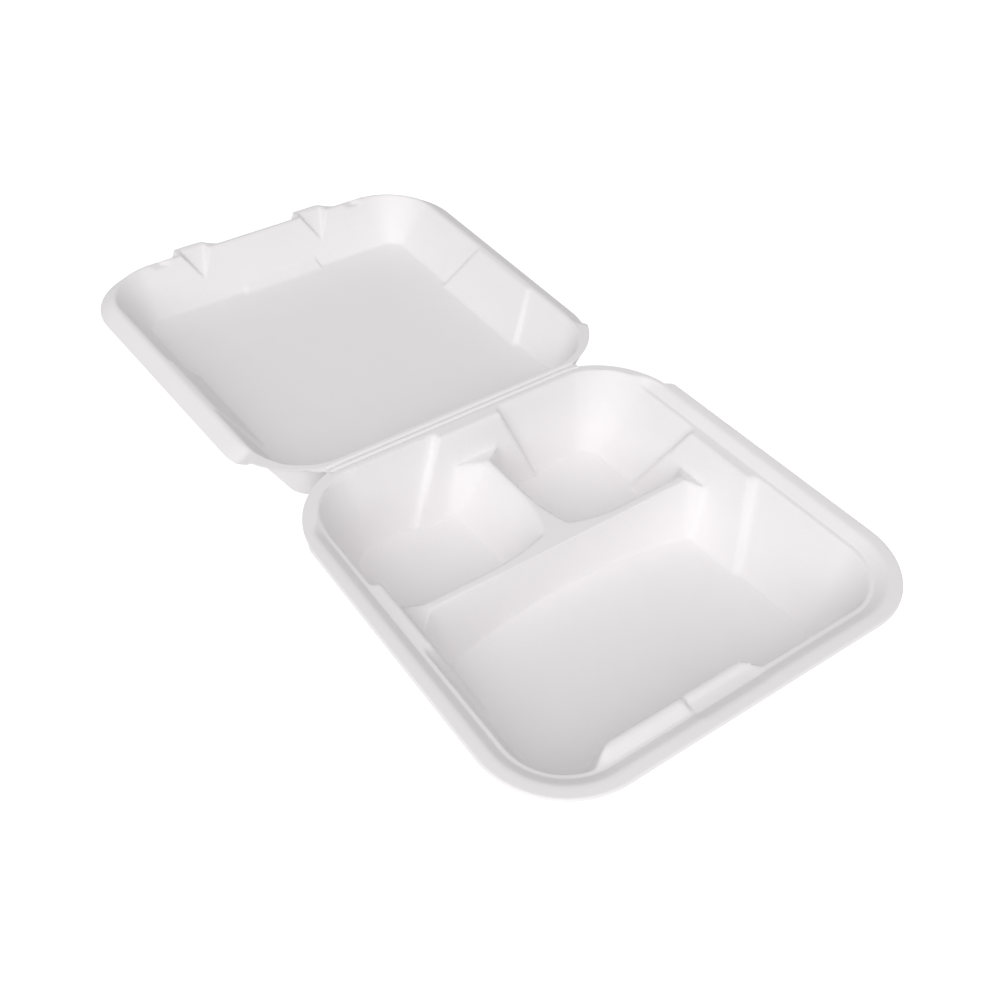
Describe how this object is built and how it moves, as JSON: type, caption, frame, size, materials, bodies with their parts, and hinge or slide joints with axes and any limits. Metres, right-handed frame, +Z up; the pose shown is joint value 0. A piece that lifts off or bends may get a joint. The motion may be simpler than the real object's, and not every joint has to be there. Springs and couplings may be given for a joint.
{
  "type": "hinged foam takeaway box",
  "caption": "Moulded white foam takeaway box with a hinged lid, lying open: a deep tray divided into compartments and a shallower lid with latch tabs.",
  "frame": {"origin": "centre of the tray's flat underside, where the box stands on a table", "axes": "+X along the hinge, +Y from the latch side to the open lid, +Z up"},
  "size_m": [0.23, 0.4459, 0.049],
  "materials": {
    "foam": "smooth matt white foam skin"
  },
  "bodies": {
    "tray": {"tray": "foam"},
    "lid": {"lid": "foam"}
  },
  "joints": [
    {"name": "lid_fold", "type": "hinge", "parent": "tray", "child": "lid", "pos_m": [0, 0.111, 0.04925], "axis": [1, 0, 0], "range_deg": [-4.2, 180.8]}
  ]
}
